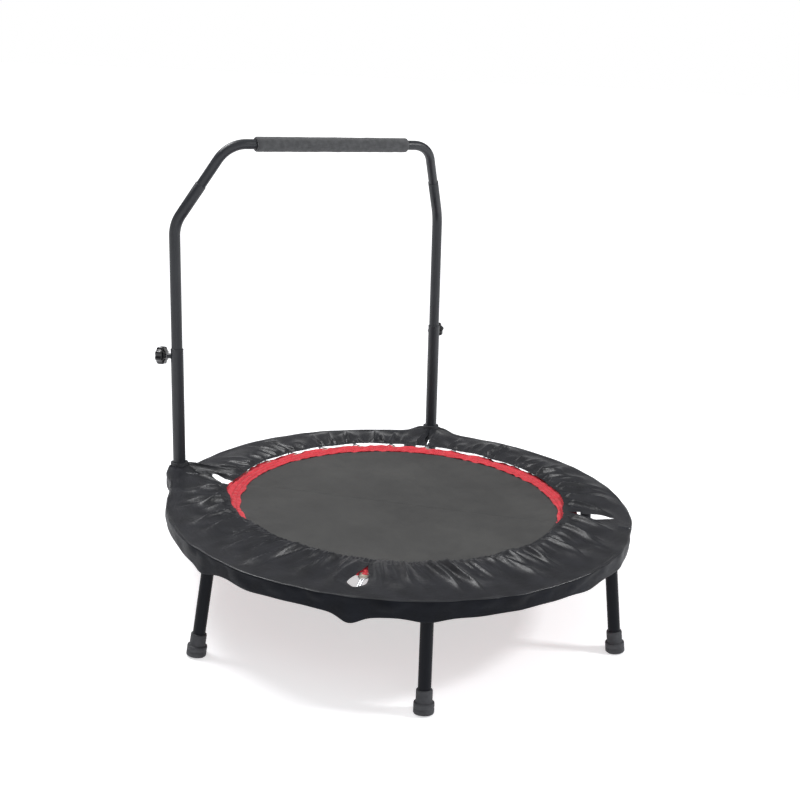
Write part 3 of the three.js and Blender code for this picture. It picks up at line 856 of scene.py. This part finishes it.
ARC_RADIUS = 0.43
RIDGES = 64
MAJOR_FOLDS = 46
MINOR_FOLDS = 96
GATHERS = 230
RIDGE_HEIGHT = 0.0130
MAJOR_HEIGHT = 0.0085
MINOR_HEIGHT = 0.0060
GATHER_HEIGHT = 0.0042
FOLD_LEAN = {
    0: 2, 60: -3, 120: 4, 165: 8, 190: 0, 217: -5, 240: 8, 256: 6, 275: -3, 300: -12, 340: -7,
}
ROLL_TURNS = (250, 205, 150, 90)
RIM_TURNS = (18, 36, 54, 72, 90)
PANEL_ROWS = 10
UNDER_ROWS = 4
ROLL_RADIUS = 0.0020
RIM_ROUND = 0.0035
POST_MARGIN = 0.021
PANEL_LEAST = 0.5040
SKIRT_DIPS = ((188.0, 0.008, 0.030), (227.5, 0.018, 0.026), (238.0, 0.004, 0.09))
TENT_HEIGHT = 0.010
TENT_REACH = 0.030


def fold_places(count, jitter):
    """Angles of folds round the whole cover, unevenly spaced, and how strong each one is."""
    gaps = 1 + jitter * rng.uniform(-1, 1, count)
    places = np.cumsum(gaps) / gaps.sum() * 2 * np.pi
    return places, rng.uniform(0.45, 1.0, count)


def hanging_folds(angle, places, strengths, power):
    """Sharp ridges at the places, with the cloth sagging between: 1 on a strong ridge, 0 between."""
    turned = np.mod(angle, 2 * np.pi)
    after = np.searchsorted(places, turned) % len(places)
    before = after - 1
    span = np.mod(places[after] - places[before], 2 * np.pi)
    share = np.mod(turned - places[before], 2 * np.pi) / span
    strength = strengths[before] * (1 - share) + strengths[after] * share
    return strength * np.abs(2 * share - 1) ** power


def fold_lean(angle):
    """How far round a fold turns on its way from the hem to the rim, in radians."""
    leans = list(FOLD_LEAN.values())
    return np.radians(np.interp(np.degrees(angle) % 360, list(FOLD_LEAN), leans, period=360))


def long_ridges(angle, t, radius):
    """Sharp creases from the hem towards the rim, each with its own length, lean and bow: 0 to 1."""
    total = np.zeros_like(radius)
    for place, strength in zip(*fold_places(RIDGES, 0.8)):
        lean = fold_lean(place) + rng.uniform(-0.05, 0.05)
        bow = rng.uniform(-0.03, 0.03)
        length = rng.uniform(0.5, 0.98)
        off = np.abs(signed_turn(angle, place + lean * t + bow * np.sin(np.pi * t))) * radius
        profile = np.exp(-off / (0.0035 + 0.007 * t))
        along = smooth_step(t, -0.05, 0.16) * (1 - smooth_step(t, length - 0.4, length))
        total = np.maximum(total, strength * profile * along)
    return total


def hem_radius(angle):
    """The cover's inner edge: a smooth closed line through the radii in HEM_RADIUS."""
    known = np.radians(list(HEM_RADIUS))
    values = np.array(list(HEM_RADIUS.values()))
    steps = np.linspace(-math.pi, math.pi, 41)[1:-1]
    window = np.cos(steps / 2) ** 2 * (np.abs(steps) < 0.3)
    window = window / window.sum()
    total = np.zeros_like(angle)
    for step, weight in zip(steps, window):
        if weight > 0:
            total += weight * np.interp(np.mod(angle + step, 2 * np.pi), known, values, period=2 * np.pi)
    return total


def signed_turn(angle, centre):
    return (angle - centre + np.pi) % (2 * np.pi) - np.pi


def cover_columns():
    """Column angles from slot to slot. Each slot has two columns, so that its edges can part."""
    centres = [math.radians((slot["inner"] + slot["outer"]) / 2) for slot in SLOTS]
    ends = centres[1:] + [centres[0] + 2 * np.pi]
    sectors = [np.linspace(low, high, COLUMNS_PER_SECTOR) for low, high in zip(centres, ends)]
    return np.concatenate(sectors), centres


def near_angles(angle, degrees, width, radius=0.5):
    """1 at each of the angles, fading to 0 over about that width of arc."""
    total = np.zeros_like(angle)
    for each in degrees:
        off = signed_turn(angle, math.radians(each)) * radius
        total = np.maximum(total, np.exp(-(off / width) ** 2))
    return total


def hem_and_rim(angle, centres):
    """Radii of the cover's inner and outer edge. The outer edge bulges round the posts."""
    arc = angle[None] * ARC_RADIUS
    inner = hem_radius(angle)[None] + 0.0025 * waves(arc, 0.0, 8, 0.05, 0.16)
    rim = COVER_RIM + 0.0012 * waves(arc, 0.0, 8, 0.05, 0.2)
    posts = [math.degrees(centre) for centre, slot in zip(centres, SLOTS) if slot["post"]]
    bulge = POST_RADIUS + POST_MARGIN - COVER_RIM
    return inner, rim + bulge * near_angles(angle, posts, 0.050)[None]


def folded_top(angle, inner, rim):
    """The cover's top, row by row from the hem to where the rim starts to round over."""
    arc = angle[None] * ARC_RADIUS
    t = np.linspace(0.0, 1.0, TOP_ROWS)[:, None] ** 1.12
    warp = 0.010 * waves(arc, t * 0.13, 10, 0.05, 0.16)
    fold_angle = angle[None] - fold_lean(angle)[None] * t + warp * t

    height = HEM_HEIGHT + (COVER_CREST - HEM_HEIGHT) * smooth_step(t, 0.0, 0.75)
    height = height + 0.0016 * waves(arc, t * 0.14, 12, 0.05, 0.14) * np.sin(np.pi * t) ** 0.6
    reach = 0.92 + 0.1 * waves(arc, 0.0, 6, 0.08, 0.3)
    major = hanging_folds(fold_angle, *fold_places(MAJOR_FOLDS, 0.75), 1.7)
    minor = hanging_folds(fold_angle + 0.2 * warp, *fold_places(MINOR_FOLDS, 0.8), 1.5)
    gather = hanging_folds(angle[None] + 0.3 * warp, *fold_places(GATHERS, 0.6), 1.2)
    radius = inner + (rim - inner) * t
    settled = smooth_step(t, 0.0, 0.14)
    open_slots = [(slot["inner"] + slot["outer"]) / 2 for slot in SLOTS if not slot["post"]]
    loose = 1 - 0.85 * near_angles(angle, open_slots, 0.034)[None]
    height = height + RIDGE_HEIGHT * loose * long_ridges(angle[None], t, radius)
    major = major * (1 - smooth_step(t, 0.30, reach)) * (0.12 + 0.88 * settled)
    height = height + MAJOR_HEIGHT * loose * major
    minor = minor * (1 - smooth_step(t, 0.12, 0.60)) * (0.25 + 0.75 * settled)
    height = height + MINOR_HEIGHT * loose * minor
    height = height + GATHER_HEIGHT * gather * (1 - smooth_step(t, 0.0, 0.17))
    radius = radius + 0.0025 * (gather - 0.4) * (1 - smooth_step(t, 0.0, 0.12))
    return np.minimum(radius, rim - RIM_ROUND), height


def side_of_cover(angle, rim, crest):
    """The rounded rim, the side panel below it and the hem tucked under that, each as radius and height."""
    arc = angle[None] * ARC_RADIUS
    turn = np.radians(RIM_TURNS)[:, None]
    centre_height = crest - RIM_ROUND
    rounded = (rim - RIM_ROUND + RIM_ROUND * np.sin(turn), centre_height + RIM_ROUND * np.cos(turn))

    bottom = PANEL_BOTTOM + 0.0022 * waves(arc, 0.0, 8, 0.04, 0.2)
    bottom = bottom - 0.002 * near_angles(angle, LEG_ANGLES.values(), 0.060)[None]
    for degrees, depth, width in SKIRT_DIPS:
        bottom = bottom - depth * near_angles(angle, [degrees], width)[None]
    p = np.linspace(0.12, 1.0, PANEL_ROWS)[:, None]
    side_fold = 0.0016 * waves(arc, p * 0.03, 14, 0.02, 0.09) * np.sin(np.pi * p) ** 0.5
    beside_leg = near_angles(angle, LEG_ANGLES.values(), 0.024)[None]
    panel_radius = rim + side_fold - 0.0030 * p ** 2 - 0.0004
    panel_radius = np.maximum(panel_radius, PANEL_LEAST + 0.0030 * beside_leg)
    panel = (panel_radius, centre_height + (bottom - centre_height) * p)

    u = np.linspace(0.25, 1.0, UNDER_ROWS)[:, None]
    under_radius = panel_radius[-1:] - 0.016 * u * (1 - beside_leg)
    under_radius = under_radius + 0.001 * u * waves(arc, u * 0.02, 8, 0.02, 0.06)
    under = (under_radius, bottom + 0.004 * u + 0.0015 * waves(arc, u * 0.02, 8, 0.02, 0.06) * u)
    return rounded, panel, under


def rolled_hem(top_radius, top_height):
    """The small roll along the inner edge."""
    turn = np.radians(ROLL_TURNS)[:, None]
    radius = top_radius[:1] + 0.0022 * (np.sin(turn) - 1)
    return radius, top_height[:1] - ROLL_RADIUS - 0.0004 + ROLL_RADIUS * np.sin(turn)


def part_at_slots(angle, centres, radius, height):
    """Parts the cloth at the slots, and lifts it into a gathered tent round each post."""
    theta = np.broadcast_to(angle[None], radius.shape).copy()
    sector = np.repeat(np.arange(len(SLOTS)), COLUMNS_PER_SECTOR)
    rows_up = (np.arange(len(radius)) < len(ROLL_TURNS) + TOP_ROWS + len(RIM_TURNS) + 4)[:, None]
    for index, (slot, centre) in enumerate(zip(SLOTS, centres)):
        off = signed_turn(theta, centre)
        at_slot = np.abs(off) < 1e-6
        sign = np.where(at_slot, np.where(sector == index, 1.0, -1.0)[None], np.sign(off))
        along = np.clip((radius - slot["start"]) / (slot["end"] - slot["start"]), 0, 1)
        rise = np.where(along < slot["peak"], along / slot["peak"], (1 - along) / (1 - slot["peak"]))
        gap = slot["gap"] * np.sin(np.pi / 2 * np.clip(rise, 0, 1)) ** 1.5
        if slot["post"]:
            chord = np.sqrt(np.maximum(POST_HOLE ** 2 - (radius - POST_RADIUS) ** 2, 0))
            gap = np.maximum(gap, 2 * chord)
        skew = math.radians(slot["inner"]) - centre + math.radians(slot["outer"] - slot["inner"]) * along
        fade = np.clip(1 - np.abs(off) * radius / 0.085, 0, 1)
        theta = theta + skew * fade + sign * gap / 2 / radius * fade ** 1.5
        beside = np.exp(-np.abs(off) * radius / 0.007) * smooth_step(gap, 0.0, 0.006)
        height = height - 0.0022 * beside
        if slot["post"]:
            across = signed_turn(theta, math.radians(slot["outer"])) * POST_RADIUS
            out = radius - POST_RADIUS
            gathers = 0.85 + 0.2 * np.cos(9 * np.arctan2(across, out))
            tent = TENT_HEIGHT * np.exp(-(np.hypot(across, out) / TENT_REACH) ** 2) * gathers
            height = height + np.where(rows_up, tent, tent * 0.4)
    return theta, height


def kept_above(radius, height):
    """Heights with the roll and the top held clear of the mat, the red band and the frame tube."""
    over_tube = np.exp(-((radius - RING_RADIUS) / 0.011) ** 4)
    on_band = smooth_step(radius, MAT_RADIUS - 0.008, MAT_RADIUS - 0.003) * (radius < BORDER_RADIUS + 0.008)
    least = MAT_TOP + 0.0032 + 0.0037 * on_band
    least = np.maximum(least, (RING_HEIGHT + RING_TUBE + 0.0022) * over_tube)
    is_top = (np.arange(len(radius)) < len(ROLL_TURNS) + TOP_ROWS + 1)[:, None]
    return np.where(is_top & (radius < COVER_RIM - 0.002), np.maximum(height, least), height)


def make_cover():
    angle, centres = cover_columns()
    inner, rim = hem_and_rim(angle, centres)
    top = folded_top(angle, inner, rim)
    bands = [rolled_hem(*top), top, *side_of_cover(angle, rim, top[1][-1:])]
    radius = np.concatenate([band[0] for band in bands])
    height = np.concatenate([band[1] for band in bands])
    theta, height = part_at_slots(angle, centres, radius, height)
    height = kept_above(radius, height)

    vertices = np.stack([radius * np.cos(theta), radius * np.sin(theta), height], -1).reshape(-1, 3)
    steps = np.linalg.norm(np.diff(np.stack([radius, height], -1), axis=0), axis=-1).mean(axis=1)
    down = np.concatenate([[0], np.cumsum(steps)])
    uv = np.stack(np.meshgrid(down, angle * 0.45, indexing="ij")[::-1], -1).reshape(-1, 2)
    faces = grid_faces(len(radius), len(angle))
    between_sectors = (faces[:, 0] % len(angle) + 1) % COLUMNS_PER_SECTOR == 0
    faces = faces[~between_sectors]
    cover = make_mesh("cover_cloth_gathered", vertices, faces, LOOKS[COVER], uv)
    # The panel below the rim takes the darker cloth, which is partly its own tone and partly painted shade.
    cover.data.materials.append(LOOKS["panel"])
    is_panel = faces[:, 0] // len(angle) >= len(ROLL_TURNS) + TOP_ROWS + 2
    cover.data.polygons.foreach_set("material_index", is_panel.astype(np.int32))

    bm = bmesh.new()
    bm.from_mesh(cover.data)
    bmesh.ops.remove_doubles(bm, verts=bm.verts, dist=1e-6)
    bmesh.ops.recalc_face_normals(bm, faces=bm.faces)
    bm.to_mesh(cover.data)
    bm.free()
    return cover


cover = make_cover()
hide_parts(*[f"cover_{quarter}" for quarter in QUARTERS])
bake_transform(cover)


# ---------------------------------------------------------------- floor, light and camera

def make_floor():
    """A pale floor that glows more with distance, so that it meets the white world with no horizon."""
    s = Shader("studio_floor", 0.85, 0.0, Emission_Strength=1.0)
    s.colour(s.ramp(s.noise(1.5, 2.0), [(0.3, (0.80, 0.81, 0.84)), (0.7, (0.82, 0.83, 0.85))]))
    far = s.node("ShaderNodeVectorMath", {"Vector": s.place()}, operation="LENGTH").outputs["Value"]
    glow = s.ramp(s.math("DIVIDE", far, 10.0), [(0.15, (0.55, 0.55, 0.55)), (0.6, (1.0, 1.0, 1.0))])
    s.tree.links.new(glow, s.bsdf.inputs["Emission Color"])
    half = 60.0
    below = -0.0002
    corners = [(-half, -half, below), (half, -half, below), (half, half, below), (-half, half, below)]
    make_mesh("studio_floor", corners, [[0, 1, 2, 3]], s.material)


def area_light(name, place, target, size, power):
    data = bpy.data.lights.new(name, "AREA")
    data.energy = power
    data.size = size
    light = bpy.data.objects.new(name, data)
    light.location = place
    light.rotation_mode = "QUATERNION"
    light.rotation_quaternion = (Vector(target) - Vector(place)).to_track_quat("-Z", "Y")
    bpy.context.scene.collection.objects.link(light)


make_floor()
area_light("key", (-0.9, 1.5, 2.8), (0, 0, 0.2), 1.1, 60)
area_light("side", (2.2, -1.7, 2.4), (0, 0, 0.2), 0.5, 55)
area_light("front_fill", (-1.2, -2.6, 2.2), (0, 0, 0.3), 1.8, 12)


def studio_world():
    """White up to just above the horizon, dim above that and brighter overhead."""
    world = bpy.data.worlds.new("white_studio")
    world.use_nodes = True
    tree = world.node_tree
    source = tree.nodes.new("ShaderNodeTexCoord")
    split = tree.nodes.new("ShaderNodeSeparateXYZ")
    ramp = tree.nodes.new("ShaderNodeValToRGB")
    tree.links.new(source.outputs["Generated"], split.inputs["Vector"])
    tree.links.new(split.outputs["Z"], ramp.inputs["Fac"])
    tree.links.new(ramp.outputs["Color"], tree.nodes["Background"].inputs["Color"])
    stops = [(0.10, 1.0), (0.16, 0.16), (0.55, 0.16), (0.80, 0.60)]
    while len(ramp.color_ramp.elements) < len(stops):
        ramp.color_ramp.elements.new(0.5)
    for element, (position, grey) in zip(ramp.color_ramp.elements, stops):
        element.position = position
        element.color = (grey, grey, grey, 1.0)
    return world


bpy.context.scene.world = studio_world()
bpy.context.scene.view_settings.view_transform = "Standard"

CAMERA_PLACE = (-1.345, -2.013, 1.148)
CAMERA_AZIMUTH = math.radians(-33.49)
CAMERA_PITCH = math.radians(15.99)
CAMERA_ROLL = math.radians(3.02)
CAMERA_LENS = 52.72
CAMERA_SHIFT = -0.0046

back = Vector((
    math.sin(CAMERA_AZIMUTH) * math.cos(CAMERA_PITCH),
    -math.cos(CAMERA_AZIMUTH) * math.cos(CAMERA_PITCH),
    math.sin(CAMERA_PITCH),
))
level = (-back).cross(Vector((0, 0, 1))).normalized()
upright = level.cross(-back)
right = level * math.cos(CAMERA_ROLL) + upright * math.sin(CAMERA_ROLL)
above = upright * math.cos(CAMERA_ROLL) - level * math.sin(CAMERA_ROLL)
camera_data = bpy.data.cameras.new("camera")
camera_data.sensor_width = 36.0
camera_data.lens = CAMERA_LENS
camera_data.shift_y = CAMERA_SHIFT
camera = bpy.data.objects.new("camera", camera_data)
camera.matrix_world = Matrix((
    (right.x, above.x, back.x, CAMERA_PLACE[0]),
    (right.y, above.y, back.y, CAMERA_PLACE[1]),
    (right.z, above.z, back.z, CAMERA_PLACE[2]),
    (0, 0, 0, 1),
))
bpy.context.scene.collection.objects.link(camera)
bpy.context.scene.camera = camera

bpy.context.view_layer.update()
